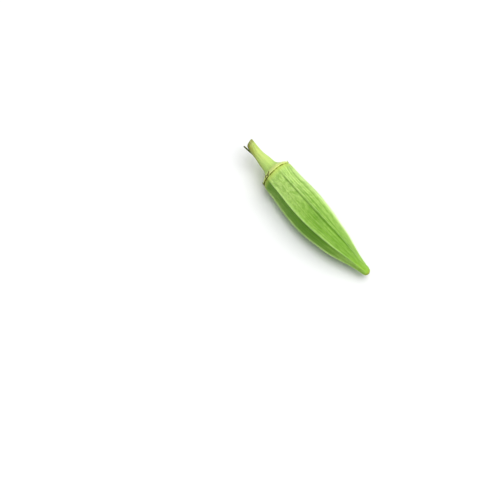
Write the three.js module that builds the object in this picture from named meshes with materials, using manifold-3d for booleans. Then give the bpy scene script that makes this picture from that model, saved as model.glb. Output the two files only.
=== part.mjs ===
// Okra pod, picked and lying on its side.
// A six-ribbed capsule tapers from a rounded shoulder to a blunt, slightly hooked beak.
// Its stalk is a cut stem that flares, like a trumpet, into the cap that carries the capsule.
// Millimetres, +Z up. The pod runs along +X from the cut stem to the tip and rests on the plane z = 0.

import * as THREE from "three";
import { LoftGeometry } from "three/addons/geometries/LoftGeometry.js";
import { mergeVertices } from "three/addons/utils/BufferGeometryUtils.js";
import Module from "manifold-3d";

const wasm = await Module();
wasm.setup();

// Driving dimensions

const POD_LENGTH = 70; // capsule, from the calyx scar to the tip
const POD_RADIUS = 10.25; // over the rib crests at the widest place
const STALK_LENGTH = 21.85; // from the calyx scar back to the cut end of the stem
const STEM_RADIUS = 2.35;
const SCAR_RADIUS = 8.65; // rim of the cap, where the calyx fell off
const SCAR_GAP = 0.1; // between the cap's face and the capsule's base

// The axis: stations are distances along it from the calyx scar, negative on the stalk
const REST_STATION = 26.6; // where the pod's weight lies and its belly touches
const TIP_DROOP = 4.2; // the tip's fall below the axis at rest
const STALK_LIFT = 3; // the cut end's rise above it
const HOOK_START = 25.6; // where the beak begins to turn sideways
const TIP_HOOK = 4.2; // the tip's turn towards +Y
const STEM_SWAY = 3.4; // strength of the stem's swing towards -Y
const STEM_RETURN = 1.15; // share of the stalk's length at which that swing would be over
const SCAR_TILT = 0.113; // slope of the scar
const SCAR_DIRECTION = THREE.MathUtils.degToRad(169); // side on which it lies nearest the tip
const SCAR_REACH = 10; // stations over which that slope dies away on both sides

// Ribs: directions counterclockwise from the top, as seen from the tip
const RIB_DIRECTIONS = [-6, 46, 101, 152, 212.5, 288].map(THREE.MathUtils.degToRad);
const TIP_TWIST = THREE.MathUtils.degToRad(17); // how far the ribs wind towards +Y by the tip
const RIB_RISE = 0.045; // height of a rib, as a share of the section's radius
const RIB_WIDTH = 0.06; // half width of a rib, in radians
const FACE_FLATNESS = 0.8; // 0 is a round face between two ribs, 1 is a flat one
const RIB_ONSET = 8; // stations over which the ribs rise out of the round shoulder
const RIBS_AT_SCAR = 0.3; // share of their full relief
const RIBS_AT_TIP = 0.6;
const RIB_FADE = 0.75; // share of the length after which they fade towards the tip

// Places of a section's points between a crest and the middle of the face, as shares of that angle
const FACE_STEPS = [0.1, 0.2, 0.34, 0.6];
const PROFILE_STEPS = 3; // sections for each stretch of a profile
const STEM_SIDES = 30;
const AXIS_STEP = 0.05; // stations either side over which the axis's heading is taken

// Outline of the capsule over its ribs: stations as shares of its length, radii as shares of the largest
const POD_PROFILE = [
  [0, 0.82],
  [0.008, 0.855],
  [0.03, 0.88],
  [0.13, 0.915],
  [0.28, 0.997],
  [0.39, 1],
  [0.5, 0.943],
  [0.6, 0.833],
  [0.7, 0.718],
  [0.79, 0.536],
  [0.866, 0.378],
  [0.935, 0.27],
  [0.972, 0.23],
  [0.992, 0.16],
  [1, 0.03],
];

// Outline of the stalk: distances from the scar as shares of its length, radii as shares of the cap's rim
const STEM_SHARE = STEM_RADIUS / SCAR_RADIUS;
const STALK_PROFILE = [
  [1, STEM_SHARE * 0.78],
  [0.985, STEM_SHARE * 0.88],
  [0.8, STEM_SHARE * 1.04],
  [0.595, STEM_SHARE * 1.14],
  [0.41, 0.391],
  [0.252, 0.442],
  [0.162, 0.57],
  [0.075, 0.865],
  [0.019, 1],
  [SCAR_GAP / STALK_LENGTH, 0.965],
];
const CAP_LOBES = 0.015; // low lobes round the cap, one for each rib, as a share of its radius
const CUT_SLANT = 0.5; // slope of the cut across the stem
const CUT_DIRECTION = THREE.MathUtils.degToRad(290); // side on which the cut stem is longest
const CUT_REACH = 5; // stations over which the slant dies away

// Torn strip of stem skin that stands off beside the cut
const STRIP_DIRECTION = THREE.MathUtils.degToRad(101);
const STRIP_RADIUS = 0.4;
const STRIP_SIDES = 6;
const STRIP_STEPS = 8;
const STRIP_STATIONS = [-12.9, -15.8, -18.4, -21.75];
const STRIP_OFFSETS = [0.8, 0.95, 1.12, 1.5]; // from the axis, as shares of the stem's radius

const FLAT_DEPTH = 0.15; // how far the two lower ribs are pressed flat by the pod's weight
const FLOOR_BLOCK = 200; // side of the block that cuts the resting flats

// Point of the axis at a station
function axisPoint(station) {
  const ahead = Math.max(0, station - REST_STATION) / (POD_LENGTH - REST_STATION);
  const behind = Math.max(0, REST_STATION - station) / (STALK_LENGTH + REST_STATION);
  const hook = Math.max(0, station - HOOK_START) / (POD_LENGTH - HOOK_START);
  const back = Math.max(0, -station) / STALK_LENGTH;
  return new THREE.Vector3(
    station,
    TIP_HOOK * hook ** 2 - STEM_SWAY * back ** 2 * (STEM_RETURN - back),
    STALK_LIFT * behind ** 3 - TIP_DROOP * ahead ** 3,
  );
}

// Point at a direction and distance from the axis, square to it but for the slope of the scar
function besideAxis(level, direction, distance) {
  const askew = SCAR_TILT * (1 - THREE.MathUtils.smoothstep(Math.abs(level), 0, SCAR_REACH));
  const station = level + askew * distance * Math.cos(direction - SCAR_DIRECTION);
  const ahead = axisPoint(station + AXIS_STEP).sub(axisPoint(station - AXIS_STEP)).normalize();
  const left = ahead.clone().cross(new THREE.Vector3(0, 0, 1)).normalize();
  const up = left.clone().cross(ahead);
  return axisPoint(station)
    .addScaledVector(up, distance * Math.cos(direction))
    .addScaledVector(left, distance * Math.sin(direction));
}

// Points of a profile given as shares of a length and a radius, on one smooth curve
function profilePoints(shares, length, radius) {
  const points = shares.map(([along, out]) => new THREE.Vector3(along * length, out * radius, 0));
  return new THREE.CatmullRomCurve3(points).getPoints((points.length - 1) * PROFILE_STEPS);
}

// A section's share of the crest radius, at an angle from the nearer rib of a face that spans twice halfFace
function ribShare(fromRib, halfFace) {
  const chord = Math.cos(halfFace) / Math.cos(halfFace - fromRib);
  const face = 1 - FACE_FLATNESS * (1 - chord);
  return face - RIB_RISE * (1 - Math.exp(-((fromRib / RIB_WIDTH) ** 2)));
}

// Every point of the capsule's section, as its direction and its share of the crest radius
function ribbedSection() {
  const shares = [0, ...FACE_STEPS, 1, ...FACE_STEPS.map((step) => 2 - step).reverse()];
  return RIB_DIRECTIONS.flatMap((rib, i) => {
    const next = i + 1 < RIB_DIRECTIONS.length ? RIB_DIRECTIONS[i + 1] : RIB_DIRECTIONS[0] + 2 * Math.PI;
    const halfFace = (next - rib) / 2;
    return shares.map((share) => ({
      direction: rib + share * halfFace,
      share: ribShare(Math.min(share, 2 - share) * halfFace, halfFace),
    }));
  });
}

// How much of the ribs' full relief shows at a station
function ribRelief(station) {
  const onset = THREE.MathUtils.smoothstep(station, 0, RIB_ONSET);
  const fading = THREE.MathUtils.smoothstep(station, POD_LENGTH * RIB_FADE, POD_LENGTH);
  return THREE.MathUtils.lerp(RIBS_AT_SCAR, 1, onset) * THREE.MathUtils.lerp(1, RIBS_AT_TIP, fading);
}

// Closed body through a row of sections
function loft(sections) {
  return new LoftGeometry(sections, { capStart: true, capEnd: true });
}

// Solid for joining and cutting, from a closed geometry
function solidOf(geometry) {
  const bare = new THREE.BufferGeometry().copy(geometry);
  bare.deleteAttribute("normal");
  bare.deleteAttribute("uv");
  const merged = mergeVertices(bare);
  return new wasm.Manifold(
    new wasm.Mesh({
      numProp: 3,
      vertProperties: new Float32Array(merged.attributes.position.array),
      triVerts: new Uint32Array(merged.index.array),
    }),
  );
}

// Geometry of a joined or cut solid
function geometryOf(solid) {
  const mesh = solid.getMesh();
  const geometry = new THREE.BufferGeometry();
  geometry.setAttribute("position", new THREE.BufferAttribute(mesh.vertProperties, 3));
  geometry.setIndex(new THREE.BufferAttribute(mesh.triVerts, 1));
  geometry.computeVertexNormals();
  return geometry;
}

// Ribbed capsule, with its two lower ribs pressed flat where it rests
function capsuleGeometry() {
  const section = ribbedSection();
  const sections = profilePoints(POD_PROFILE, POD_LENGTH, POD_RADIUS).map(({ x: station, y: radius }) => {
    const relief = ribRelief(station);
    const twist = TIP_TWIST * (station / POD_LENGTH) ** 2;
    return section.map(({ direction, share }) =>
      besideAxis(station, direction - twist, radius * THREE.MathUtils.lerp(1, share, relief)),
    );
  });
  const whole = loft(sections);
  whole.computeBoundingBox();
  const floor = whole.boundingBox.min.z + FLAT_DEPTH;
  const below = new THREE.BoxGeometry(FLOOR_BLOCK, FLOOR_BLOCK, FLOOR_BLOCK);
  below.translate(0, 0, floor - FLOOR_BLOCK / 2);
  return geometryOf(solidOf(whole).subtract(solidOf(below)));
}

// Stem and cap in one, with the slanting cut and the torn strip beside it
function stalkGeometry() {
  const sections = profilePoints(STALK_PROFILE, STALK_LENGTH, SCAR_RADIUS).map(({ x: back, y: radius }) => {
    const slant = CUT_SLANT * Math.max(0, 1 - (STALK_LENGTH - back) / CUT_REACH);
    return Array.from({ length: STEM_SIDES }, (_, i) => {
      const direction = (i / STEM_SIDES) * 2 * Math.PI;
      const lobe = CAP_LOBES * Math.cos(RIB_DIRECTIONS.length * (direction - RIB_DIRECTIONS[0]));
      const longer = slant * radius * Math.cos(direction - CUT_DIRECTION);
      return besideAxis(-back - longer, direction, radius * (1 + lobe));
    });
  });
  return geometryOf(solidOf(loft(sections)).add(solidOf(stripGeometry())));
}

// Tapering strip from inside the stem's side to its free end
function stripGeometry() {
  const path = new THREE.CatmullRomCurve3(
    STRIP_STATIONS.map((station, i) => besideAxis(station, STRIP_DIRECTION, STRIP_OFFSETS[i] * STEM_RADIUS)),
  );
  const outline = new THREE.Shape().absarc(0, 0, STRIP_RADIUS, 0, 2 * Math.PI);
  return new THREE.ExtrudeGeometry(outline, {
    extrudePath: path,
    steps: STRIP_STEPS,
    curveSegments: STRIP_SIDES,
  });
}

const podSkin = new THREE.MeshStandardMaterial({ color: 0x86bc4c, roughness: 0.5, metalness: 0 });
const stalkSkin = new THREE.MeshStandardMaterial({ color: 0xb4cf6c, roughness: 0.6, metalness: 0 });

const capsule = new THREE.Mesh(capsuleGeometry(), podSkin);
capsule.name = "capsule";
const stalk = new THREE.Mesh(stalkGeometry(), stalkSkin);
stalk.name = "stalk";

// The pod stands with the middle of its length and width over the origin and its belly on z = 0
const pod = new THREE.Group();
pod.add(capsule, stalk);
const extent = new THREE.Box3().setFromObject(pod);
const middle = extent.getCenter(new THREE.Vector3());
pod.position.set(-middle.x, -middle.y, -extent.min.z);

const okra = new THREE.Group();
okra.add(pod);

export default okra;
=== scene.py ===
"""Okra pod: a ribbed capsule and its cut stalk, lying on a plain pale floor.

The capsule and the stalk are swept along one bent axis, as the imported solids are, with finer relief.
Lengths are in metres. Stations are distances along the axis from the calyx scar, negative on the stalk.
Directions are angles round the axis from the top, counterclockwise as seen from the tip.
"""

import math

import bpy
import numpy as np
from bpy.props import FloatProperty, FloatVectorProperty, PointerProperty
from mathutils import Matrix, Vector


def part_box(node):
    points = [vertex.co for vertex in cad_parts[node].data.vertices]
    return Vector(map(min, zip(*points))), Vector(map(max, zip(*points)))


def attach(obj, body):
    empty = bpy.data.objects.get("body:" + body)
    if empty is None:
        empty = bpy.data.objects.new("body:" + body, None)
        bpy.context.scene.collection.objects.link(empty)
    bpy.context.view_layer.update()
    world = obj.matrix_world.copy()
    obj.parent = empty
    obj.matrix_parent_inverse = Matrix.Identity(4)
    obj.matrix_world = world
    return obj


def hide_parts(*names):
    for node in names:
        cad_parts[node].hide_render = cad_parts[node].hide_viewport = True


bl_info = {
    "name": "Okra Pod",
    "version": (1, 0, 0),
    "blender": (4, 5, 0),
    "location": "View3D > Sidebar > Okra",
    "description": "Builds a ribbed okra pod with its stalk, and a plain stage to show it on",
    "category": "Object",
}

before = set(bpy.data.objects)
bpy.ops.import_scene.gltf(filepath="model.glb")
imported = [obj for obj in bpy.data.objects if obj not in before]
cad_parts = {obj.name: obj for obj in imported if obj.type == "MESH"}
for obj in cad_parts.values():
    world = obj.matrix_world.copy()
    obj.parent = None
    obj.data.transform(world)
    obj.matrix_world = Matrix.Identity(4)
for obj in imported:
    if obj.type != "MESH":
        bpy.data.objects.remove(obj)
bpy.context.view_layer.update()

FULL_TURN = 2 * math.pi
SEED = 11

# Outlines and directions of the form, as in the solids

# Capsule over its ribs: stations as shares of its length, radii as shares of the largest
POD_PROFILE = (
    (0, 0.82), (0.008, 0.855), (0.03, 0.88), (0.13, 0.915), (0.28, 0.997),
    (0.39, 1), (0.5, 0.943), (0.6, 0.833), (0.7, 0.718), (0.79, 0.536),
    (0.866, 0.378), (0.935, 0.27), (0.972, 0.23), (0.992, 0.16), (1, 0.03),
)

# Stem: distances from the scar as shares of the stalk's length, radii as shares of the stem's
STEM_PROFILE = (
    (0.992, 0.04), (0.99, 0.4), (0.994, 0.64), (1, 0.78),
    (0.985, 0.88), (0.8, 1.04), (0.595, 1.14),
)

# Cap: distances from the scar as shares of the stalk's length, radii as shares of the cap's rim
CAP_PROFILE = (
    (0.41, 0.391), (0.252, 0.442), (0.162, 0.57), (0.075, 0.865),
    (0.019, 1), (0.0046, 0.965), (0.0046, 0.3),
)

RIB_DIRECTIONS = np.radians((-6, 46, 101, 152, 212.5, 288))
NEXT_RIBS = np.append(RIB_DIRECTIONS[1:], RIB_DIRECTIONS[0] + FULL_TURN)

# Torn strip of stem skin: stations as shares of the stalk's length, offsets as shares of the stem's
STRIP_DIRECTION = math.radians(101)
STRIP_STATIONS = (-0.5904, -0.7231, -0.8421, -0.9954)
STRIP_OFFSETS = (0.8, 0.95, 1.12, 1.5)

# Thickness of the strip at shares of its length from its loose end, as shares of its radius
STRIP_PLACES = (0, 0.03, 0.3, 1)
STRIP_THICKNESS = (0.6, 1, 1.05, 0.9)

# How uneven the strip is round its section, with how many edges, and how far they turn along it
STRIP_UNEVENNESS = 0.12
STRIP_EDGES = 3
STRIP_TWIST = 9

# Dry tags of the calyx: directions and how far they lean round the cap, in degrees, lengths and widths
TAGS = (
    (41, -17, 0.0021, 0.0011),
    (52, -8, 0.0016, 0.0012),
    (86, 4, 0.0013, 0.0024),
    (121, 6, 0.0017, 0.0013),
    (207, -8, 0.0012, 0.0018),
    (285, 5, 0.0009, 0.0015),
)

# Where the tags begin behind the scar, their clearance there, how far their points lift, and how late
TAG_START = 0.0002
TAG_CLEARANCE = 0.00003
TAG_LIFT = 0.0005
TAG_CURL = 1.6

# Half thickness of the tags at their points, and what is added to it at their roots
TAG_POINT = 0.00004
TAG_ROOT = 0.0001

# Outline of the tags: the narrowest share of their width, their taper, waves, ragged edges and hollow
TAG_NARROWEST = 0.03
TAG_TAPER = 0.75
TAG_WAVE = 0.05
TAG_WAVE_TURN = 2.2
TAG_RAGGEDNESS = 0.22
TAG_NOTCHES = 8
TAG_HOLLOW = 0.35

# Relief that is finer than the solids

# Fine ridges: how far their phase wanders and how much their height changes, both with rates in radians to
# a metre, and how the change of height leans round the axis
RIDGE_WANDER = 0.9
RIDGE_WANDER_RATES = (60, 160)
RIDGE_SWELL = 0.4
RIDGE_SWELL_RATES = (80, 220)
RIDGE_SWELL_LEAN = 3

# Ridges of the capsule and the stalk: waves added up, their fewest crests, and the count they stay below
POD_RIDGES = (14, 34, 92)
STALK_RIDGES = (10, 9, 42)

# Height of the stalk's ridges, and the stretch behind the scar over which they rise
STALK_RIDGE_DEPTH = 0.00006
STALK_RIDGE_START = (0.0004, 0.003)

# How much smoother a rib's crest is, and how far the relief stays off the scar and the tip
CREST_SMOOTHNESS = 0.6
RELIEF_AFTER_SCAR = 0.003
RELIEF_BEFORE_TIP = 0.002

# Swellings over the seeds: their pitch, the half width of a row as an angle, and how uneven the rows are
SEED_PITCHES = (0.0052, 0.0066)
SEED_ROW_WIDTH = 0.28
SEED_UNEVENNESS = 1.2
SEED_UNEVEN_RATE = 140

# Marks of the skin, with some painted light and shade

# How pale each rib's crest is, and the half width of that pale band as a share of the rib's
# The sixth rib's crest, along the lit edge, is palest and widest: its own pale crest with a painted
# highlight
RIB_PALENESS_AND_HIGHLIGHT = np.array((0.15, 0.3, 0.6, 0.4, 0.4, 1))
RIB_BANDS = np.array((0.6, 1.2, 1.6, 0.8, 0.8, 2))

# Green of the face after each rib, at its start, its end and near the tip, from -1, pale, to 1, deep
# The face after the sixth rib is painted pale as painted light on its lit side; the other faces keep their
# own tone
# The flank after the second rib is painted deep as painted shade, and pale towards the tip as painted
# light
TONE_AT_START = np.array((0.14, 1, 0.5, 0.5, 0.3, -0.4))
TONE_AT_END = np.array((0.06, 0.62, 0.6, 0.4, 0.2, -0.08))
TONE_AT_TIP = np.array((0.05, -0.5, -0.2, -0.1, 0, -0.3))
TIP_TONE_STRETCH = (0.57, 0.88)

# How clearly lined the face after each rib is
FACE_LINES = np.array((0.62, 0.9, 0.9, 0.9, 0.9, 1.0))

# Share of a face beside each rib over which its tone and lines blend into the next face's
RIB_BLEND = 0.2

# Dark line at a rib's foot: middle and width as shares of the rib's, strength before it and at the tip
# The line is partly a dark groove and partly painted shade, mostly just past each rib, on the side away
# from the light
FOOT_MIDDLE = 1.2
FOOT_WIDTH = 0.45
FOOT_BEFORE_RIB = 0.15
FOOT_AT_TIP = 0.3
FOOT_STRETCH = (0.42, 0.82)

# How strongly the fine ridges show in the skin's colour
RIDGE_CONTRAST = 0.4

# Scar line: its darkest side, how brown it is on average, how much more there, smaller changes and widths
# On its darkest side the scar line is partly a dry stain and partly painted shade of the shadowed gap
# under the rim
DARK_SCAR_DIRECTION = math.radians(105)
SCAR_DRYNESS = 0.6
SCAR_STAIN_AND_SHADE = 0.34
SCAR_LEAST = 0.1
SCAR_WAVES = (3, 5, 9, 14, 23, 37)
SCAR_WAVE_HEIGHT = 0.09
SCAR_WIDTHS = (0.0002, 0.00055)

# Thin stains from the scar: half widths as angles, reaches, strengths, and the share where they fade
STAIN_HALF_WIDTHS = (0.012, 0.06)
STAIN_REACHES = (0.0008, 0.0034)
STAIN_STRENGTHS = (0.1, 0.45)
STAIN_FADE = 0.2
POD_STAINS = 30
STALK_STAINS = 10
STALK_STAIN_SHORTENING = 1.7

# Brown seam that the torn strip left along the stem: its half width, and its rise along the stalk
SEAM_DIRECTION = math.radians(83)
SEAM_WIDTH = 0.0006
SEAM_STRETCH = (0.1, 0.35)
SEAM_AT_CAP = 0.45

# Side on which the stem has dried most near its cut, where it begins, and how dry the other side is
DRY_DIRECTION = math.radians(45)
DRY_STRETCH = (0.5, 0.95)
DRY_FAR_SIDE = 0.3

# Pith of the cut, as shares of the stem's radius
PITH_EDGE = (0.35, 0.62)

# Where torn skin is still green: along the strip from its loose end, and at the roots of the tags
STRIP_FRESH_STRETCH = (0.35, 0.9)
TAG_FRESHNESS = 0.3
TAG_FRESH_STRETCH = (0, 0.5)

# Points of the meshes: steps to each stretch of an outline, and points round a section or a face
POD_STEPS = 19
FACE_COLUMNS = 60
STALK_STEPS = 12
STALK_COLUMNS = 180
STRIP_STEPS = 10
STRIP_COLUMNS = 16
TAG_ROWS = 14
TAG_COLUMNS = 12

# How far the points of a face crowd towards its ribs
RIB_CROWDING = 0.6

# Points of the plain form that finds the pod's place
PLAIN_POD_STEPS = 6
PLAIN_FACE_COLUMNS = 12

# Rows of the stalk's points between which the cut face ends, and how many of the first may be pith
CUT_EDGE_ROWS = (34, 50)
PITH_ROWS = 30

# Half the stretch over which the axis's heading is measured
HEADING_STEP = 5e-5


def length_property(name, description, default):
    """A length that a user would change"""
    return FloatProperty(name=name, description=description, default=default, precision=5, unit="LENGTH")


def number_property(name, description, default):
    """A number that a user would change"""
    return FloatProperty(name=name, description=description, default=default)


def angle_property(name, description, default):
    """An angle that a user would change"""
    return FloatProperty(name=name, description=description, default=default, subtype="ANGLE")


def share_property(name, description, default):
    """A share between 0 and 1 that a user would change"""
    return FloatProperty(
        name=name, description=description, default=default, min=0, max=1, precision=3, subtype="FACTOR"
    )


def colour_property(name, description, default):
    """A colour that a user would change"""
    return FloatVectorProperty(
        name=name, description=description, default=default, size=3, min=0, max=1, subtype="COLOR"
    )


class PodForm(bpy.types.PropertyGroup):
    """Sizes of the pod"""

    pod_length: length_property("Pod Length", "Capsule, from the calyx scar to the tip", 0.07)
    pod_radius: length_property("Pod Radius", "Over the rib crests at the widest place", 0.01025)
    stalk_length: length_property("Stalk Length", "From the calyx scar back to the stem's cut", 0.02185)
    stem_radius: length_property("Stem Radius", "Radius of the stem near its cut end", 0.00235)
    scar_radius: length_property("Scar Radius", "Rim of the cap, where the calyx fell off", 0.00865)
    rest_station: length_property("Rest Station", "Where the pod's belly touches the surface", 0.0266)
    tip_droop: length_property("Tip Droop", "Fall of the tip below the axis at rest", 0.0042)
    stalk_lift: length_property("Stalk Lift", "Rise of the cut end above the axis at rest", 0.003)
    hook_start: length_property("Hook Start", "Station at which the beak begins to turn sideways", 0.0256)
    tip_hook: length_property("Tip Hook", "Sideways turn of the tip", 0.0042)
    stem_sway: length_property("Stem Sway", "Strength of the stem's sideways swing", 0.0034)
    stem_return: number_property("Stem Return", "Share of the stalk at which that swing would end", 1.15)
    scar_tilt: number_property("Scar Tilt", "Slope of the scar", 0.113)
    scar_direction: angle_property(
        "Scar Direction", "Side on which the scar lies nearest the tip", math.radians(169)
    )
    scar_reach: length_property("Scar Reach", "Stretch over which that slope dies away", 0.01)
    tip_twist: angle_property("Tip Twist", "How far the ribs wind round by the tip", math.radians(17))
    rib_rise: share_property("Rib Rise", "Height of a rib as a share of the radius", 0.045)
    rib_width: angle_property("Rib Width", "Half width of a rib", 0.06)
    face_flatness: share_property("Face Flatness", "0 is a round face between ribs and 1 a flat one", 0.8)
    rib_onset: length_property("Rib Onset", "Stretch over which the ribs rise", 0.008)
    ribs_at_scar: share_property("Ribs at Scar", "Share of the full relief at the scar", 0.3)
    ribs_at_tip: share_property("Ribs at Tip", "Share of the full relief at the tip", 0.6)
    rib_fade: share_property("Rib Fade", "Share of the length after which the ribs fade", 0.75)
    striae_depth: length_property("Striae Depth", "Height of the skin's fine lengthwise ridges", 0.00005)
    seed_swell: length_property("Seed Swell", "Height of the low swellings over the seeds", 0.00009)
    cap_lobes: share_property("Cap Lobes", "Low lobes round the cap, as a share of its radius", 0.015)
    cut_slant: number_property("Cut Slant", "Slope of the cut across the stem", 0.5)
    cut_direction: angle_property(
        "Cut Direction", "Side on which the cut stem is longest", math.radians(290)
    )
    cut_reach: length_property("Cut Reach", "Stretch over which the slant dies away", 0.005)
    strip_radius: length_property("Strip Radius", "Half thickness of the torn strip of skin", 0.0004)


class PodColours(bpy.types.PropertyGroup):
    """Colours of the skin, as linear colour; deep, vein, pale, crest and rim also paint shade and light
    where noted
    """

    face: colour_property("Face", "Fresh green of the faces", (0.26, 0.52, 0.05))
    streak: colour_property("Streak", "Paler green of the lengthwise streaks", (0.42, 0.65, 0.15))
    deep: colour_property("Deep", "Deeper green of the broad blotches", (0.12, 0.32, 0.012))
    vein: colour_property("Vein", "Dark green of the thin veins and of the ribs' feet", (0.06, 0.2, 0.006))
    crest: colour_property("Crest", "Pale green of the rib crests", (0.7, 0.9, 0.4))
    pale: colour_property("Pale", "Pale green of the pod's first part", (0.66, 0.88, 0.29))
    shoulder: colour_property("Shoulder", "Yellow green beside the scar", (0.56, 0.7, 0.13))
    tip: colour_property("Tip", "Bright yellow green of the beak", (0.44, 0.76, 0.065))
    stem: colour_property("Stem", "Yellow green of the stem", (0.62, 0.75, 0.21))
    cap: colour_property("Cap", "Green of the flaring cap", (0.42, 0.64, 0.16))
    rim: colour_property("Rim", "Pale band before the scar", (0.72, 0.83, 0.26))
    scar: colour_property("Scar", "Dry olive brown of the scar line", (0.065, 0.085, 0.006))
    ochre: colour_property("Ochre", "Dry yellow brown near the cut and the scar", (0.42, 0.44, 0.05))
    husk: colour_property("Husk", "Dead brown of torn dry skin", (0.12, 0.09, 0.025))
    cut: colour_property("Cut", "Dry olive brown of the cut end", (0.17, 0.15, 0.05))
    pith: colour_property("Pith", "Pale pith in the middle of the cut", (0.42, 0.38, 0.17))


class StageSettings(bpy.types.PropertyGroup):
    """Floor, camera and lights"""

    floor_size: length_property("Floor Size", "Side of the floor", 40.0)
    floor_colour: colour_property("Floor", "Plain pale floor", (0.9, 0.9, 0.905))
    azimuth: angle_property("Azimuth", "Direction of the camera round the pod", math.radians(51.37))
    elevation: angle_property("Elevation", "Height of the camera above the horizon", math.radians(73.85))
    distance: length_property("Distance", "From the camera to its aim", 0.708)
    aim: FloatVectorProperty(
        name="Aim",
        description="Point that the camera looks at",
        default=(-0.00057, -0.036, 0.0092),
        precision=5,
        subtype="XYZ",
        unit="LENGTH",
    )
    lens: number_property("Lens", "Focal length in millimetres", 100.0)
    key_strength: number_property("Key Strength", "Strength of the soft lamp", 2.62)
    key_spread: angle_property("Key Spread", "How wide the soft lamp looks from the pod", math.radians(60))
    key_direction: FloatVectorProperty(
        name="Key Direction",
        description="Towards the soft lamp",
        default=(0.08, 0.36, 1),
        subtype="DIRECTION",
    )
    sky: number_property("Sky", "Strength of the light from overhead", 0.5)
    sky_height: share_property("Sky Height", "Height above the horizon at which that light is full", 0.8)
    sky_colour: colour_property("Sky Colour", "Colour of the light from all sides", (0.97, 0.985, 1.0))
    horizon: number_property("Horizon", "Strength of the light from the sides", 0.04)
    backdrop: number_property("Backdrop", "Brightness past the floor", 1)


# Form


def smoothstep(value, low, high):
    share = np.clip((value - low) / (high - low), 0, 1)
    return share * share * (3 - 2 * share)


def blend(low, high, share):
    return low + (high - low) * share


def passed(value, stretch, length):
    """How far a value has passed a stretch that is given as shares of a length, between 0 and 1"""
    start, end = stretch
    return smoothstep(value, start * length, end * length)


def unit(vectors):
    return vectors / np.linalg.norm(vectors, axis=-1, keepdims=True)


def turn_from(middle, direction):
    """Angle from one direction to another, at most half a turn either way"""
    return np.angle(np.exp(1j * (direction - middle)))


def directions_round(columns):
    return np.linspace(0, FULL_TURN, columns, endpoint=False)


def axis_points(form, station):
    """Points of the bent axis"""
    ahead = np.maximum(0, station - form.rest_station) / (form.pod_length - form.rest_station)
    behind = np.maximum(0, form.rest_station - station) / (form.stalk_length + form.rest_station)
    hook = np.maximum(0, station - form.hook_start) / (form.pod_length - form.hook_start)
    back = np.maximum(0, -station) / form.stalk_length
    sideways = form.tip_hook * hook**2 - form.stem_sway * back**2 * (form.stem_return - back)
    height = form.stalk_lift * behind**3 - form.tip_droop * ahead**3
    return np.stack([station, sideways, height], axis=-1)


def beside_axis(form, level, direction, distance):
    """Points at a direction and distance from the axis, square to it but for the slope of the scar"""
    level, direction, distance = np.broadcast_arrays(level, direction, distance)
    askew = form.scar_tilt * (1 - smoothstep(np.abs(level), 0, form.scar_reach))
    station = level + askew * distance * np.cos(direction - form.scar_direction)
    ahead = unit(axis_points(form, station + HEADING_STEP) - axis_points(form, station - HEADING_STEP))
    left = unit(np.cross(ahead, (0, 0, 1)))
    up = np.cross(left, ahead)
    out = np.cos(direction)[..., None] * up + np.sin(direction)[..., None] * left
    return axis_points(form, station) + distance[..., None] * out


def smooth_curve(points, steps):
    """A centripetal Catmull-Rom curve through the points, with steps to each stretch"""
    ends = np.vstack([2 * points[0] - points[1], points, 2 * points[-1] - points[-2]])
    gaps = np.sqrt(np.linalg.norm(np.diff(ends, axis=0), axis=1))
    share = (np.arange(steps) / steps)[:, None]
    rows = []
    for i in range(len(points) - 1):
        before, start, end, after = ends[i : i + 4]
        gap_before, gap, gap_after = gaps[i : i + 3]
        leave = (start - before) / gap_before - (end - before) / (gap_before + gap) + (end - start) / gap
        arrive = (end - start) / gap - (after - start) / (gap + gap_after) + (after - end) / gap_after
        leave, arrive = leave * gap, arrive * gap
        square = 3 * (end - start) - 2 * leave - arrive
        cube = 2 * (start - end) + leave + arrive
        rows.append(start + leave * share + square * share**2 + cube * share**3)
    return np.vstack(rows + [points[-1:]])


def section_directions(per_face):
    """Directions round a section, crowded towards the ribs

    Each comes with its angle to the nearest rib, its face's half angle, and whether it is past that rib.
    """
    share = np.arange(per_face) / per_face
    share = share - RIB_CROWDING * np.sin(FULL_TURN * share) / FULL_TURN
    face = (NEXT_RIBS - RIB_DIRECTIONS)[:, None]
    direction = RIB_DIRECTIONS[:, None] + face * share
    from_rib = face * np.minimum(share, 1 - share)
    half = np.broadcast_to(face / 2, direction.shape)
    past = np.broadcast_to(share < 0.5, direction.shape)
    return direction.ravel(), from_rib.ravel(), half.ravel(), past.ravel()


def rib_share(form, from_rib, half_face):
    """A section's share of the crest radius"""
    chord = np.cos(half_face) / np.cos(half_face - from_rib)
    face = 1 - form.face_flatness * (1 - chord)
    return face - form.rib_rise * (1 - np.exp(-((from_rib / form.rib_width) ** 2)))


def rib_relief(form, station):
    """How much of the ribs' full relief shows"""
    onset = blend(form.ribs_at_scar, 1, smoothstep(station, 0, form.rib_onset))
    fading = smoothstep(station, form.pod_length * form.rib_fade, form.pod_length)
    return onset * blend(1, form.ribs_at_tip, fading)


def rib_twist(form, station):
    """How far the ribs have wound round by a station"""
    return form.tip_twist * (station / form.pod_length) ** 2


def striae(direction, station, draw, count, fewest, most):
    """Fine lengthwise ridges, mostly between -1 and 1, that wander slowly round the axis"""
    total = np.zeros(np.broadcast(direction, station).shape)
    for waves in draw.integers(fewest, most, count):
        phase, drift, swell_phase = draw.uniform(0, FULL_TURN, 3)
        wander = RIDGE_WANDER * np.sin(station * draw.uniform(*RIDGE_WANDER_RATES) + drift)
        swell = station * draw.uniform(*RIDGE_SWELL_RATES) + RIDGE_SWELL_LEAN * direction + swell_phase
        strength = 1 - RIDGE_SWELL + RIDGE_SWELL * np.sin(swell)
        total += strength * np.cos(waves * direction + phase + wander)
    return total / math.sqrt(count)


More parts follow.
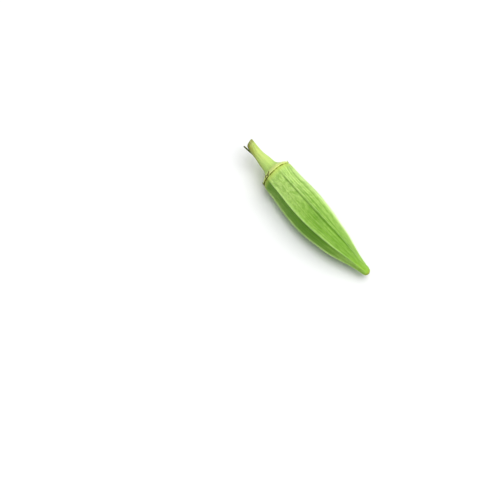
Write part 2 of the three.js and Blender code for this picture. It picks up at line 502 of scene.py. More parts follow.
def seed_swellings(direction, station, draw):
    """Low rounded swellings in a row along the middle of each face"""
    total = np.zeros(np.broadcast(direction, station).shape)
    for middle in (RIB_DIRECTIONS + NEXT_RIBS) / 2:
        beside = turn_from(middle, direction) / SEED_ROW_WIDTH
        pitch = draw.uniform(*SEED_PITCHES)
        phase = draw.uniform(0, FULL_TURN)
        uneven = SEED_UNEVENNESS * np.sin(station * SEED_UNEVEN_RATE)
        row = (1 + np.cos(FULL_TURN * station / pitch + phase + uneven)) / 2
        total += row * np.exp(-(beside**2))
    return total


def capsule_profile(form, steps):
    return smooth_curve(np.array(POD_PROFILE) * (form.pod_length, form.pod_radius), steps)


def pod_place(form):
    """Where the scar's centre lies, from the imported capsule's box and the plain form's own reach"""
    direction, from_rib, half_face, _ = section_directions(PLAIN_FACE_COLUMNS)
    station, radius = capsule_profile(form, PLAIN_POD_STEPS).T[:, :, None]
    share = blend(1, rib_share(form, from_rib, half_face), rib_relief(form, station))
    turned = direction - rib_twist(form, station)
    plain = beside_axis(form, station, turned, radius * share).reshape(-1, 3)
    low, high = (np.array(corner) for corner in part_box("capsule"))
    own_low, own_high = plain.min(axis=0), plain.max(axis=0)
    middle = (low + high - own_low - own_high) / 2
    return np.array([high[0] - own_high[0], middle[1], high[2] - own_high[2]])


# Marks of the skin, with some painted light and shade


def across_faces(at_start, at_end):
    """A value for each direction of a section, from one rib of a face to the next, blended at the ribs"""
    share = np.arange(FACE_COLUMNS) / FACE_COLUMNS
    level = blend(at_start[:, None], at_end[:, None], share)
    first_rib = (np.roll(at_end, 1) + at_start)[:, None] / 2
    second_rib = (at_end + np.roll(at_start, -1))[:, None] / 2
    level = blend(first_rib, level, smoothstep(share, 0, RIB_BLEND))
    return blend(level, second_rib, smoothstep(share, 1 - RIB_BLEND, 1)).ravel()


def face_tone_and_painted_light(form, station):
    """Green of the faces, from -1, pale, to 1, deep: their own tone, with painted shade on the flank and
    painted light on the lit face and the flank's tip
    """
    body = across_faces(TONE_AT_START, TONE_AT_END)
    beak = across_faces(TONE_AT_TIP, TONE_AT_TIP)
    return blend(body, beak, passed(station, TIP_TONE_STRETCH, form.pod_length))


def rib_groove_and_shade(form, station, from_rib, past):
    """How dark the line along a rib's foot is, between 0 and 1: a dark groove, with painted shade mostly
    just past the rib, on its side away from the light
    """
    beside = (from_rib / form.rib_width - FOOT_MIDDLE) / FOOT_WIDTH
    side = np.where(past, 1, FOOT_BEFORE_RIB)
    fading = blend(1, FOOT_AT_TIP, passed(station, FOOT_STRETCH, form.pod_length))
    return np.exp(-(beside**2)) * side * fading


def scar_brown_and_shade(direction):
    """How dark the scar line is round the axis, between 0 and 1: dry brown, with painted shade on its
    darkest side
    """
    draw = np.random.default_rng(SEED)
    total = SCAR_DRYNESS + SCAR_STAIN_AND_SHADE * np.cos(direction - DARK_SCAR_DIRECTION)
    for waves in SCAR_WAVES:
        total = total + SCAR_WAVE_HEIGHT * np.cos(waves * direction + draw.uniform(0, FULL_TURN))
    return np.clip(total, SCAR_LEAST, 1)


def scar_stain_and_shade(distance, direction, draw, count):
    """Brown of the scar line, with painted shade on its darkest side, and of thin stains that run from it
    along the skin, between 0 and 1
    """
    # Scar brown, with painted shade on its darkest side
    dried = scar_brown_and_shade(direction)
    stain_and_shade = dried * np.exp(-((distance / blend(*SCAR_WIDTHS, dried)) ** 2))
    for _ in range(count):
        middle = draw.uniform(0, FULL_TURN)
        half_width = draw.uniform(*STAIN_HALF_WIDTHS)
        reach = draw.uniform(*STAIN_REACHES)
        strength = draw.uniform(*STAIN_STRENGTHS)
        beside = turn_from(middle, direction) / half_width
        fading = 1 - smoothstep(distance, STAIN_FADE * reach, reach)
        stain_and_shade = np.maximum(stain_and_shade, strength * np.exp(-(beside**2)) * fading)
    return stain_and_shade


def torn_seam(form, back, radius, direction):
    """How brown the line is that the torn strip of skin left along the stem, between 0 and 1"""
    beside = radius * turn_from(SEAM_DIRECTION, direction) / SEAM_WIDTH
    strength = blend(SEAM_AT_CAP, 1, back / form.stalk_length)
    return passed(back, SEAM_STRETCH, form.stalk_length) * strength * np.exp(-(beside**2))


def dry_side(form, back, direction):
    """How far the stem has dried near its cut, between 0 and 1"""
    side = np.maximum(0, np.cos(direction - DRY_DIRECTION))
    return passed(back, DRY_STRETCH, form.stalk_length) * blend(DRY_FAR_SIDE, 1, side)


def skin_place(form, station, direction):
    """Place on the skin unrolled to an even width, so that streaks draw together towards the tip"""
    station, direction = np.broadcast_arrays(station, direction)
    across = form.pod_radius
    return np.stack([station, across * np.cos(direction), across * np.sin(direction)], axis=-1)


# Surfaces, each as rings of points that run towards the tip and the values that its skin is coloured by


def capsule_surface(form):
    """The ribbed capsule from its scar to its tip"""
    draw = np.random.default_rng(SEED)
    direction, from_rib, half_face, past = section_directions(FACE_COLUMNS)
    station, radius = capsule_profile(form, POD_STEPS).T[:, :, None]
    relief = rib_relief(form, station)
    rib = np.abs(turn_from(RIB_DIRECTIONS, direction[:, None])).argmin(axis=1)
    crest = np.exp(-((from_rib / (RIB_BANDS[rib] * form.rib_width)) ** 2)) * relief
    paleness_and_highlight = RIB_PALENESS_AND_HIGHLIGHT[rib]
    tone = face_tone_and_painted_light(form, station)
    slim = radius / form.pod_radius
    fine = striae(direction, station, draw, *POD_RIDGES) * (1 - CREST_SMOOTHNESS * crest)
    swell = seed_swellings(direction, station, draw)
    lumps = form.striae_depth * fine * np.sqrt(slim) + form.seed_swell * swell * slim
    inset = smoothstep(station, 0, RELIEF_AFTER_SCAR)
    inset = inset * smoothstep(form.pod_length - station, 0, RELIEF_BEFORE_TIP)
    share = blend(1, rib_share(form, from_rib, half_face), relief)
    turned = direction - rib_twist(form, station)
    rings = beside_axis(form, station, turned, radius * share + lumps * inset) + pod_place(form)
    rings[..., 2] = np.maximum(rings[..., 2], 0)
    return rings, {
        "station": station,
        "crest": crest,
        "paleness_and_highlight": paleness_and_highlight[None],
        # Deep tone, the faces' own and painted shade on the flank, and pale tone, mostly painted light on
        # the lit face and the flank's tip
        "deeper_and_painted_shade": np.maximum(0, tone),
        "paler_and_painted_light": np.maximum(0, -tone),
        "lines": across_faces(FACE_LINES, FACE_LINES)[None],
        "foot": rib_groove_and_shade(form, station, from_rib, past) * relief * (1 - paleness_and_highlight) ** 2,
        "ridge": np.clip(0.5 + RIDGE_CONTRAST * fine, 0, 1),
        "stain_and_shade": scar_stain_and_shade(station, direction, draw, POD_STAINS),
        "skin_place": skin_place(form, station, direction),
    }


def stalk_surface(form):
    """The stalk from its cut to the rim of its cap"""
    draw = np.random.default_rng(SEED + 1)
    length = form.stalk_length
    stem = np.array(STEM_PROFILE) * (length, form.stem_radius)
    cap = np.array(CAP_PROFILE) * (length, form.scar_radius)
    back, radius = smooth_curve(np.vstack([stem, cap]), STALK_STEPS).T[:, :, None]
    direction = directions_round(STALK_COLUMNS)
    lobes = form.cap_lobes * np.cos(len(RIB_DIRECTIONS) * (direction - RIB_DIRECTIONS[0]))
    inset = np.clip(radius / form.stem_radius, 0, 1) * smoothstep(back, *STALK_RIDGE_START)
    ridges = STALK_RIDGE_DEPTH * striae(direction, back, draw, *STALK_RIDGES) * inset
    slant = form.cut_slant * np.maximum(0, 1 - (length - back) / form.cut_reach)
    longer = slant * radius * np.cos(direction - form.cut_direction)
    level = -back - longer
    rings = beside_axis(form, level, direction, radius * (1 + lobes) + ridges) + pod_place(form)
    row = np.arange(len(back))[:, None]
    pith = 1 - passed(radius, PITH_EDGE, form.stem_radius)
    return rings, {
        "back": back,
        "cut": 1 - smoothstep(row, *CUT_EDGE_ROWS),
        "pith": pith * (row < PITH_ROWS),
        "seam": torn_seam(form, back, radius, direction),
        "dry": dry_side(form, back, direction),
        "stain_and_shade": scar_stain_and_shade(STALK_STAIN_SHORTENING * back, direction, draw, STALK_STAINS),
        "skin_place": skin_place(form, -back, direction),
    }


def strip_surface(form):
    """The torn strip of stem skin from its loose end to its root"""
    stations = np.array(STRIP_STATIONS) * form.stalk_length
    offsets = np.array(STRIP_OFFSETS) * form.stem_radius
    route = smooth_curve(np.stack([stations, offsets], axis=1), STRIP_STEPS)[::-1]
    share = np.linspace(0, 1, len(route))[:, None]
    around = directions_round(STRIP_COLUMNS)
    thick = form.strip_radius * np.interp(share, STRIP_PLACES, STRIP_THICKNESS)
    thick = thick * (1 + STRIP_UNEVENNESS * np.sin(STRIP_EDGES * around + STRIP_TWIST * share))
    centre = beside_axis(form, route[:, 0], STRIP_DIRECTION, route[:, 1])
    heading = unit(np.gradient(centre, axis=0))
    side = unit(np.cross(heading, (0, 0, 1)))
    over = np.cross(side, heading)
    out = np.cos(around)[:, None] * over[:, None] + np.sin(around)[:, None] * side[:, None]
    rings = centre[:, None] + thick[..., None] * out + pod_place(form)
    return rings, {
        "fresh": smoothstep(share, *STRIP_FRESH_STRETCH),
        "skin_place": skin_place(form, route[:, :1], around),
    }


def tag_surface(form, number):
    """One dry tag of the calyx from its point to its root"""
    direction, lean, length, width = TAGS[number]
    outline = np.array(CAP_PROFILE[:-1]) * (form.stalk_length, form.scar_radius)
    cap = smooth_curve(outline, STALK_STEPS)[::-1]
    share = np.linspace(1, 0, TAG_ROWS)
    back = TAG_START + length * share
    lift = TAG_CLEARANCE + TAG_LIFT * share**TAG_CURL
    wave = TAG_WAVE * np.sin(TAG_WAVE_TURN * share + number) * share
    bend = math.radians(direction) + math.radians(lean) * share + wave
    centre = beside_axis(form, -back, bend, np.interp(back, cap[:, 0], cap[:, 1]) + lift)
    heading = unit(np.gradient(centre, axis=0))
    side = unit(np.cross(unit(centre - axis_points(form, -back)), heading))
    out = np.cross(heading, side)
    taper = np.clip(1 - share, TAG_NARROWEST, 1) ** TAG_TAPER
    ragged = 1 + TAG_RAGGEDNESS * np.sin(TAG_NOTCHES * share + 2 * number)
    around = directions_round(TAG_COLUMNS)
    across = (width / 2 * taper * ragged)[:, None] * np.cos(around)
    above = (TAG_POINT + TAG_ROOT * taper)[:, None] * np.sin(around)
    above = above + TAG_HOLLOW * np.abs(across) * share[:, None]
    rings = centre[:, None] + across[..., None] * side[:, None] + above[..., None] * out[:, None]
    rings = rings + pod_place(form)
    return rings, {
        "fresh": TAG_FRESHNESS * (1 - smoothstep(share, *TAG_FRESH_STRETCH))[:, None],
        "skin_place": skin_place(form, -back[:, None], bend[:, None]),
    }


# Mesh


def tube_body(rings, skin):
    """Points, faces and skin values of a closed body through rings of points that run towards the tip"""
    rows, columns = rings.shape[:2]
    middles = [rings[0].mean(axis=0), rings[-1].mean(axis=0)]
    points = np.vstack([rings.reshape(-1, 3), middles])
    here = np.arange(columns)
    there = (here + 1) % columns
    low = columns * np.arange(rows - 1)[:, None]
    high = low + columns
    sides = np.stack([low + here, low + there, high + there, high + here], axis=-1).reshape(-1, 4)
    start = np.stack([np.full(columns, rows * columns), there, here], axis=-1)
    end = np.stack([np.full(columns, rows * columns + 1), high[-1] + here, high[-1] + there], axis=-1)
    faces = sides.tolist() + start.tolist() + end.tolist()
    values = {}
    for name, grid in skin.items():
        grid = np.broadcast_to(grid, (rows, columns, *np.shape(grid)[2:]))
        ends = np.stack([grid[0, 0], grid[-1, 0]])
        values[name] = np.concatenate([grid.reshape(-1, *grid.shape[2:]), ends])
    return points, faces, values


def add_object(name, data):
    made = bpy.data.objects.new(name, data)
    bpy.context.scene.collection.objects.link(made)
    return made


def skin_object(name, surfaces):
    """One object of closed bodies, with their skin values as attributes of its points"""
    points, faces, values = [], [], {}
    count = 0
    for surface in surfaces:
        body_points, body_faces, body_values = tube_body(*surface)
        points.append(body_points)
        faces += [[count + corner for corner in face] for face in body_faces]
        count += len(body_points)
        for label, numbers in body_values.items():
            values.setdefault(label, []).append(numbers)
    mesh = bpy.data.meshes.new(name)
    mesh.from_pydata(np.vstack(points).tolist(), [], faces)
    mesh.shade_smooth()
    for label, parts in values.items():
        numbers = np.concatenate(parts).astype(np.float32)
        kind, field = ("FLOAT_VECTOR", "vector") if numbers.ndim == 2 else ("FLOAT", "value")
        mesh.attributes.new(label, kind, "POINT").data.foreach_set(field, numbers.ravel())
    return add_object(name, mesh)


def dress(piece, material, slot, *nodes):
    """Gives a piece its material and body, and hides the solids that it stands for"""
    piece.data.materials.append(material)
    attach(piece, "root")
    if nodes:
        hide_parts(*nodes)


# Materials

# The whole range of a mask
WHOLE = (0, 1)

# Places of the colour sockets among those of a mix node
MIX_FACTOR, MIX_LOW, MIX_HIGH = 0, 6, 7
MIX_RESULT = 2

# Noises of the skin's grain: their stretch along the pod, scale, detail, and the values that give 0 and 1
SKIN_GRAIN = {
    "Streak": (0.05, 900, 2, (0.36, 0.64)),
    "Blotch": (0.4, 170, 3, (0.36, 0.64)),
    "Mottle": (0.5, 700, 3, (0.42, 0.66)),
    "Speck": (0.5, 2600, 2, (0.3, 0.7)),
}

# Thin veins lie where a noise of their own has its middle value, and fade beside it
VEIN_NOISE = (0.04, 420, 1)
VEIN_MIDDLE = 0.5
VEIN_EDGE = ((0.012, 0.05), (1, 0))

# Finish of every skin: light that enters it, its gloss, and how far streaks change its roughness
SCATTER_WEIGHT = 0.12
SCATTER_RADIUS = (0.7, 1.0, 0.25)
SCATTER_SCALE = 0.0012
SKIN_SPECULAR = 0.06
ROUGHNESS_SPREAD = (-0.05, 0.07)

# Roughness of each skin, and how strongly its bumps show and how high they are
POD_ROUGHNESS = 0.47
STALK_ROUGHNESS = 0.55
DRY_ROUGHNESS = 0.7
POD_BUMP = (0.25, 0.00008)
STALK_BUMP = (0.3, 0.0001)
DRY_BUMP = (0.4, 0.0001)

# Pairs below are a stretch that some value crosses, and how far a colour covers at its start and end

# Stains at the scar, by their strength
STAIN_OCHRE = ((0, 0.45), (0, 0.65))
STAIN_BROWN = ((0.3, 0.8), WHOLE)

# Pod skin: how far its marks cover
POD_BLOTCH = 0.65
POD_MOTTLE = 0.45
POD_SPECK = 0.3
VEIN_COVER = 0.42
FOOT_COVER = 0.8

# Pod skin: covers that follow another mask
STREAK_BY_LINES = (WHOLE, (0.4, 0.62))
STREAK_BY_DEPTH = (WHOLE, (1, 0.45))
# Dark vein green where the face is deepest: painted shade over the flank's first part
FLANK_PAINTED_SHADE = ((0.55, 1), (0, 0.4))
RIDGE_TOPS = ((0.55, 0.95), (0, 0.75))
CREST_BY_STREAK = (WHOLE, (0.55, 1))
TIP_BY_MOTTLE = (WHOLE, (0.5, 1))

# Pod skin: colours by the distance from the scar, and then by the distance from the tip
PALE_PART = ((0.005, 0.034), (0.95, 0.05))
SHOULDER = ((0.0006, 0.0034), (0.6, 0))
BEAK = ((0.0014, 0.014), (0.75, 0))
OCHRE_TIP = ((0.0004, 0.002), (0.7, 0))
BROWN_TIP = ((0, 0.0006), (0.75, 0))

# Stalk skin: how far its marks cover
STALK_BLOTCH = 0.4
STALK_STREAK = 0.3
DRY_COVER = 0.8
SPOT_COVER = 0.6
EDGE_COVER = 0.8
SEAM_COVER = 0.7
PITH_COVER = 0.85

# Stalk skin: covers that follow another mask
DRY_BY_BLOTCH = ((0.1, 0.7), WHOLE)
EDGE_BY_SPECK = ((0.2, 0.7), (0.5, 1))
CUT_BY_SPECK = (WHOLE, (0.7, 1))

# Stalk skin: colours by the distance back from the scar
STEM_PART = ((0.003, 0.014), WHOLE)
# The pale rim band is the cap's own colour, carried back over the cap's steep slope as painted light
# against its shade
PALE_RIM_AND_PAINTED_LIGHT = ((0.0016, 0.0042), (0.9, 0))
MOTTLED_PART = ((0.004, 0.012), (0, 0.55))
CUT_EDGE = ((0.0192, 0.0212), WHOLE)

# Dry skin: specks, and how dark the blotches of the strip and of the tags are, as shares of their colour
DRY_SPECK = 0.2
STRIP_DARKNESS = 0.4
TAG_DARKNESS = 0.55

# Floor: scale and detail of its unevenness, its darkest share, and its finish
FLOOR_NOISE = (3.0, 2.0)
FLOOR_SHADE = 0.985
FLOOR_ROUGHNESS = 0.9
FLOOR_SPECULAR = 0.1


def add_node(tree, kind, inputs=None, **settings):
    """A shader node with its settings, and with inputs that are values or other nodes' outputs"""
    made = tree.nodes.new(kind)
    for name, value in settings.items():
        setattr(made, name, value)
    for name, value in (inputs or {}).items():
        if isinstance(value, bpy.types.NodeSocket):
            tree.links.new(value, made.inputs[name])
        else:
            made.inputs[name].default_value = value
    return made


def arithmetic(tree, operation, *values):
    return add_node(tree, "ShaderNodeMath", dict(enumerate(values)), operation=operation).outputs["Value"]


def mix_colour(tree, factor, low, high):
    """A colour between two, each of them a colour or another node's output"""
    inputs = {MIX_FACTOR: factor}
    for place, colour in ((MIX_LOW, low), (MIX_HIGH, high)):
        inputs[place] = colour if isinstance(colour, bpy.types.NodeSocket) else (*colour, 1)
    return add_node(tree, "ShaderNodeMix", inputs, data_type="RGBA").outputs[MIX_RESULT]


def cover(tree, colour, layers):
    """A colour covered by tints one after another, each as far as the product of its masks says"""
    for tint, amount, *masks in layers:
        for mask in masks:
            amount = arithmetic(tree, "MULTIPLY", amount, mask)
        colour = mix_colour(tree, amount, colour, tint)
    return colour


def ramp(tree, value, stretch, amounts):
    """A value eased from one amount to another as the value given crosses a stretch"""
    low, high = stretch
    start, end = amounts
    inputs = {"Value": value, "From Min": low, "From Max": high, "To Min": start, "To Max": end}
    return add_node(tree, "ShaderNodeMapRange", inputs, interpolation_type="SMOOTHSTEP").outputs["Result"]


def attribute(tree, name, output="Fac"):
    return add_node(tree, "ShaderNodeAttribute", attribute_name=name).outputs[output]


def stretched_noise(tree, place, along, scale, detail):
    """Noise whose lengths along the pod are drawn out by the share given"""
    drawn = add_node(tree, "ShaderNodeVectorMath", {0: place, 1: (along, 1, 1)}, operation="MULTIPLY")
    inputs = {"Vector": drawn.outputs["Vector"], "Scale": scale, "Detail": detail}
    return add_node(tree, "ShaderNodeTexNoise", inputs).outputs["Fac"]


def skin_grain_group():
    """Streaks, blotches, mottles, specks and thin veins of a plant's skin, all between 0 and 1"""
    name = "Skin Grain"
    if name in bpy.data.node_groups:
        return bpy.data.node_groups[name]
    tree = bpy.data.node_groups.new(name, "ShaderNodeTree")
    place = tree.interface.new_socket("Place", in_out="INPUT", socket_type="NodeSocketVector")
    place.description = "Place on the unrolled skin, in metres"
    for label in (*SKIN_GRAIN, "Vein"):
        tree.interface.new_socket(label, in_out="OUTPUT", socket_type="NodeSocketFloat")
    given = tree.nodes.new("NodeGroupInput").outputs["Place"]
    result = tree.nodes.new("NodeGroupOutput")
    for label, (along, scale, detail, edge) in SKIN_GRAIN.items():
        noise = stretched_noise(tree, given, along, scale, detail)
        tree.links.new(ramp(tree, noise, edge, WHOLE), result.inputs[label])
    from_line = arithmetic(tree, "SUBTRACT", stretched_noise(tree, given, *VEIN_NOISE), VEIN_MIDDLE)
    vein = ramp(tree, arithmetic(tree, "ABSOLUTE", from_line), *VEIN_EDGE)
    tree.links.new(vein, result.inputs["Vein"])
    return tree


def skin_material(name, roughness):
    """A material with the skin's finish, and its tree and the outputs of the skin's grain"""
    material = bpy.data.materials.new(name)
    material.use_nodes = True
    tree = material.node_tree
    shader = tree.nodes["Principled BSDF"]
    shader.inputs["Subsurface Weight"].default_value = SCATTER_WEIGHT
    shader.inputs["Subsurface Radius"].default_value = SCATTER_RADIUS
    shader.inputs["Subsurface Scale"].default_value = SCATTER_SCALE
    shader.inputs["Specular IOR Level"].default_value = SKIN_SPECULAR
    grain = tree.nodes.new("ShaderNodeGroup")
    grain.node_tree = skin_grain_group()
    tree.links.new(attribute(tree, "skin_place", "Vector"), grain.inputs["Place"])
    spread = [roughness + change for change in ROUGHNESS_SPREAD]
    tree.links.new(ramp(tree, grain.outputs["Streak"], WHOLE, spread), shader.inputs["Roughness"])
    return material, tree, grain.outputs


def finish_skin(tree, colour, height, bump):
    """Gives a skin's shader its colour and its bump"""
    shader = tree.nodes["Principled BSDF"]
    tree.links.new(colour, shader.inputs["Base Color"])
    strength, distance = bump
    made = add_node(tree, "ShaderNodeBump", {"Height": height, "Strength": strength, "Distance": distance})
    tree.links.new(made.outputs["Normal"], shader.inputs["Normal"])


def stains(tree, colours):
    """Layers of the ochre and brown stains at the scar, whose brown is partly painted shade on one side"""
    stain_and_shade = attribute(tree, "stain_and_shade")
    return [
        (colours.ochre, ramp(tree, stain_and_shade, *STAIN_OCHRE)),
        (colours.scar, ramp(tree, stain_and_shade, *STAIN_BROWN)),
    ]


def pod_skin(form, colours):
    """Fresh green skin, streaked along the pod, with pale crests, a yellow shoulder and a bright beak,
    with painted shade on the flank and at the ribs' feet, and painted light on the lit face and one crest
    """
    material, tree, grain = skin_material("pod_skin", POD_ROUGHNESS)
    station = attribute(tree, "station")
    to_tip = arithmetic(tree, "SUBTRACT", form.pod_length, station)
    lines = attribute(tree, "lines")
    deeper_and_painted_shade = attribute(tree, "deeper_and_painted_shade")
    by_lines = ramp(tree, lines, *STREAK_BY_LINES)
    by_depth = ramp(tree, deeper_and_painted_shade, *STREAK_BY_DEPTH)
    by_streak = ramp(tree, grain["Streak"], *CREST_BY_STREAK)
    by_mottle = ramp(tree, grain["Mottle"], *TIP_BY_MOTTLE)
    greens = [
        (colours.deep, grain["Blotch"], POD_BLOTCH),
        (colours.pale, ramp(tree, station, *PALE_PART)),
        # Deep green, partly painted shade on the flank, and pale green, mostly painted light on the lit
        # face
        (colours.deep, deeper_and_painted_shade),
        (colours.pale, attribute(tree, "paler_and_painted_light")),
        (colours.tip, ramp(tree, to_tip, *BEAK)),
    ]
    marks = [
        (colours.streak, grain["Streak"], by_lines, by_depth),
        (colours.deep, grain["Mottle"], POD_MOTTLE),
        (colours.vein, grain["Vein"], lines, VEIN_COVER),
        # Painted shade: dark vein green over the flank's deepest part
        (colours.vein, ramp(tree, deeper_and_painted_shade, *FLANK_PAINTED_SHADE)),
        (colours.streak, ramp(tree, attribute(tree, "ridge"), *RIDGE_TOPS), lines),
        (colours.deep, grain["Speck"], POD_SPECK),
    ]
    ribs = [
        # Dark line at the ribs' feet: partly a groove, partly painted shade on their side away from the
        # light
        (colours.vein, attribute(tree, "foot"), FOOT_COVER),
        # Pale rib crests, their own colour, with a painted highlight along the sixth rib
        (colours.crest, attribute(tree, "crest"), attribute(tree, "paleness_and_highlight"), by_streak),
    ]
    ends = [
        (colours.shoulder, ramp(tree, station, *SHOULDER)),
        *stains(tree, colours),
        (colours.ochre, ramp(tree, to_tip, *OCHRE_TIP)),
        (colours.scar, ramp(tree, to_tip, *BROWN_TIP), by_mottle),
    ]
    colour = cover(tree, colours.face, greens + marks + ribs + ends)
    height = arithmetic(tree, "ADD", grain["Streak"], grain["Speck"])
    finish_skin(tree, colour, height, POD_BUMP)
    return material


def stalk_skin(colours):
    """Yellow-green stem and cap, pale at the rim and with painted light on the cap's slope, with a brown
    scar line, partly painted shade on one side, and a dry cut
    """
    material, tree, grain = skin_material("stalk_skin", STALK_ROUGHNESS)
    back = attribute(tree, "back")
    dry = attribute(tree, "dry")
    edge_by_speck = ramp(tree, grain["Speck"], *EDGE_BY_SPECK)
    cut_by_speck = ramp(tree, grain["Speck"], *CUT_BY_SPECK)
    greens = [
        (colours.stem, ramp(tree, back, *STEM_PART)),
        (colours.cap, grain["Blotch"], STALK_BLOTCH),
        (colours.rim, grain["Streak"], STALK_STREAK),
        # Pale band before the scar, widened as painted light over the cap's steep slope
        (colours.rim, ramp(tree, back, *PALE_RIM_AND_PAINTED_LIGHT)),
        (colours.cap, grain["Mottle"], ramp(tree, back, *MOTTLED_PART)),
    ]
    dry_marks = [
        (colours.ochre, dry, ramp(tree, grain["Blotch"], *DRY_BY_BLOTCH), DRY_COVER),
        (colours.cut, dry, grain["Mottle"], SPOT_COVER),
        (colours.cut, ramp(tree, back, *CUT_EDGE), edge_by_speck, EDGE_COVER),
        (colours.cut, attribute(tree, "seam"), SEAM_COVER),
    ]
    ends = [
        *stains(tree, colours),
        (colours.cut, attribute(tree, "cut"), cut_by_speck),
        (colours.pith, attribute(tree, "pith"), PITH_COVER),
    ]
    colour = cover(tree, colours.cap, greens + dry_marks + ends)
    height = arithmetic(tree, "ADD", grain["Streak"], grain["Speck"])
    finish_skin(tree, colour, height, STALK_BUMP)
    return material


def dry_skin(name, colours, husk, darkness):
    """Dried skin of torn edges, from a husk's brown to a darker one"""
    material, tree, grain = skin_material(name, DRY_ROUGHNESS)
    layers = [
        ([darkness * part for part in husk], grain["Blotch"]),
        (colours.ochre, grain["Speck"], DRY_SPECK),
        (colours.cap, attribute(tree, "fresh")),
    ]
    finish_skin(tree, cover(tree, husk, layers), grain["Speck"], DRY_BUMP)
    return material


def floor_material(colour):
    """Plain pale floor with the faintest unevenness"""
    material = bpy.data.materials.new("floor")
    material.use_nodes = True
    tree = material.node_tree
    shader = tree.nodes["Principled BSDF"]
    scale, detail = FLOOR_NOISE
    noise = add_node(tree, "ShaderNodeTexNoise", {"Scale": scale, "Detail": detail}).outputs["Fac"]
    shade = [part * FLOOR_SHADE for part in colour]
    tree.links.new(mix_colour(tree, noise, colour, shade), shader.inputs["Base Color"])
    shader.inputs["Roughness"].default_value = FLOOR_ROUGHNESS
    shader.inputs["Specular IOR Level"].default_value = FLOOR_SPECULAR
    return material


# Operators


class OKRA_OT_capsule(bpy.types.Operator):
    """Build the ribbed capsule with its fine lengthwise ridges"""

    bl_idname = "okra.capsule"
    bl_label = "Capsule"

    def execute(self, context):
        form = context.scene.okra_form
        piece = skin_object("capsule_skin", [capsule_surface(form)])
        dress(piece, pod_skin(form, context.scene.okra_colours), "pod_skin", "capsule")
        return {"FINISHED"}


class OKRA_OT_stalk(bpy.types.Operator):
    """Build the cut stem and the cap that it flares into"""

    bl_idname = "okra.stalk"
    bl_label = "Stalk"

    def execute(self, context):
        piece = skin_object("stalk_skin", [stalk_surface(context.scene.okra_form)])
        dress(piece, stalk_skin(context.scene.okra_colours), "stalk_skin", "stalk")
        return {"FINISHED"}


class OKRA_OT_strip(bpy.types.Operator):
    """Build the torn strip of stem skin beside the cut"""

    bl_idname = "okra.strip"
    bl_label = "Torn Strip"

    def execute(self, context):
        colours = context.scene.okra_colours
        piece = skin_object("torn_strip", [strip_surface(context.scene.okra_form)])
        dress(piece, dry_skin("strip_skin", colours, colours.scar, STRIP_DARKNESS), "stalk_skin")
        return {"FINISHED"}


class OKRA_OT_remnants(bpy.types.Operator):
    """Build the dry tags that the calyx left on the cap"""

    bl_idname = "okra.remnants"
    bl_label = "Calyx Remnants"

    def execute(self, context):
        form = context.scene.okra_form
        colours = context.scene.okra_colours
        tags = [tag_surface(form, number) for number in range(len(TAGS))]
        piece = skin_object("calyx_remnants", tags)
        dress(piece, dry_skin("remnant_skin", colours, colours.husk, TAG_DARKNESS), "stalk_skin")
        return {"FINISHED"}


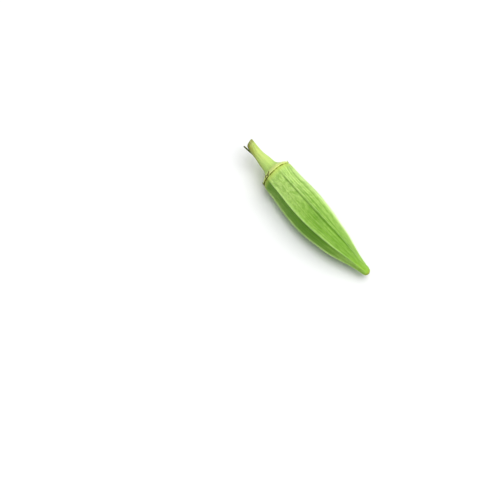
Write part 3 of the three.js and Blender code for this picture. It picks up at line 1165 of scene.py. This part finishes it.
class OKRA_OT_stage(bpy.types.Operator):
    """Lay the floor, and set the camera and the soft lights"""

    bl_idname = "okra.stage"
    bl_label = "Stage"

    def execute(self, context):
        stage = context.scene.okra_stage
        self.add_floor(stage)
        self.add_camera(context, stage)
        self.add_lamp(stage)
        self.add_sky(context, stage)
        context.scene.view_settings.view_transform = "Standard"
        return {"FINISHED"}

    def add_floor(self, stage):
        half = stage.floor_size / 2
        mesh = bpy.data.meshes.new("floor")
        corners = [(-half, -half, 0), (half, -half, 0), (half, half, 0), (-half, half, 0)]
        mesh.from_pydata(corners, [], [(0, 1, 2, 3)])
        mesh.materials.append(floor_material(stage.floor_colour))
        floor = add_object("floor", mesh)

    def add_camera(self, context, stage):
        level = math.cos(stage.elevation)
        east = math.sin(stage.azimuth) * level
        south = math.cos(stage.azimuth) * level
        back = Vector((east, -south, math.sin(stage.elevation)))
        data = bpy.data.cameras.new("camera")
        data.lens = stage.lens
        camera = add_object("camera", data)
        camera.location = Vector(stage.aim) + back * stage.distance
        camera.rotation_euler = (-back).to_track_quat("-Z", "Y").to_euler()
        context.scene.camera = camera

    def add_lamp(self, stage):
        data = bpy.data.lights.new("key", "SUN")
        data.angle = stage.key_spread
        data.energy = stage.key_strength
        key = add_object("key", data)
        key.location = stage.key_direction
        key.rotation_euler = Vector(stage.key_direction).to_track_quat("Z", "Y").to_euler()

    def add_sky(self, context, stage):
        world = bpy.data.worlds.new("studio")
        world.use_nodes = True
        tree = world.node_tree
        place = add_node(tree, "ShaderNodeTexCoord").outputs["Generated"]
        height = add_node(tree, "ShaderNodeSeparateXYZ", {"Vector": place}).outputs["Z"]
        strength = ramp(tree, height, (0, stage.sky_height), (stage.horizon, stage.sky))
        seen = add_node(tree, "ShaderNodeLightPath").outputs["Is Camera Ray"]
        strength = ramp(tree, seen, WHOLE, (strength, stage.backdrop))
        background = tree.nodes["Background"]
        tree.links.new(strength, background.inputs["Strength"])
        background.inputs["Color"].default_value = (*stage.sky_colour, 1)
        context.scene.world = world


class OKRA_PT_panel(bpy.types.Panel):
    """Lists the okra pod's pieces and stage"""

    bl_idname = "OKRA_PT_panel"
    bl_label = "Okra Pod"
    bl_space_type = "VIEW_3D"
    bl_region_type = "UI"
    bl_category = "Okra"

    def draw(self, context):
        for operator in OPERATORS:
            self.layout.operator(operator.bl_idname)
        for settings in (context.scene.okra_form, context.scene.okra_colours, context.scene.okra_stage):
            box = self.layout.box()
            for name in settings.bl_rna.properties.keys():
                if name not in {"rna_type", "name"}:
                    box.prop(settings, name)


OPERATORS = (OKRA_OT_capsule, OKRA_OT_stalk, OKRA_OT_strip, OKRA_OT_remnants, OKRA_OT_stage)
CLASSES = (PodForm, PodColours, StageSettings, *OPERATORS, OKRA_PT_panel)


def register():
    for item in CLASSES:
        bpy.utils.register_class(item)
    bpy.types.Scene.okra_form = PointerProperty(type=PodForm)
    bpy.types.Scene.okra_colours = PointerProperty(type=PodColours)
    bpy.types.Scene.okra_stage = PointerProperty(type=StageSettings)


def unregister():
    del bpy.types.Scene.okra_stage
    del bpy.types.Scene.okra_colours
    del bpy.types.Scene.okra_form
    for item in reversed(CLASSES):
        bpy.utils.unregister_class(item)


def main():
    register()
    bpy.ops.okra.capsule()
    bpy.ops.okra.stalk()
    bpy.ops.okra.strip()
    bpy.ops.okra.remnants()
    bpy.ops.okra.stage()


if __name__ == "__main__":
    main()
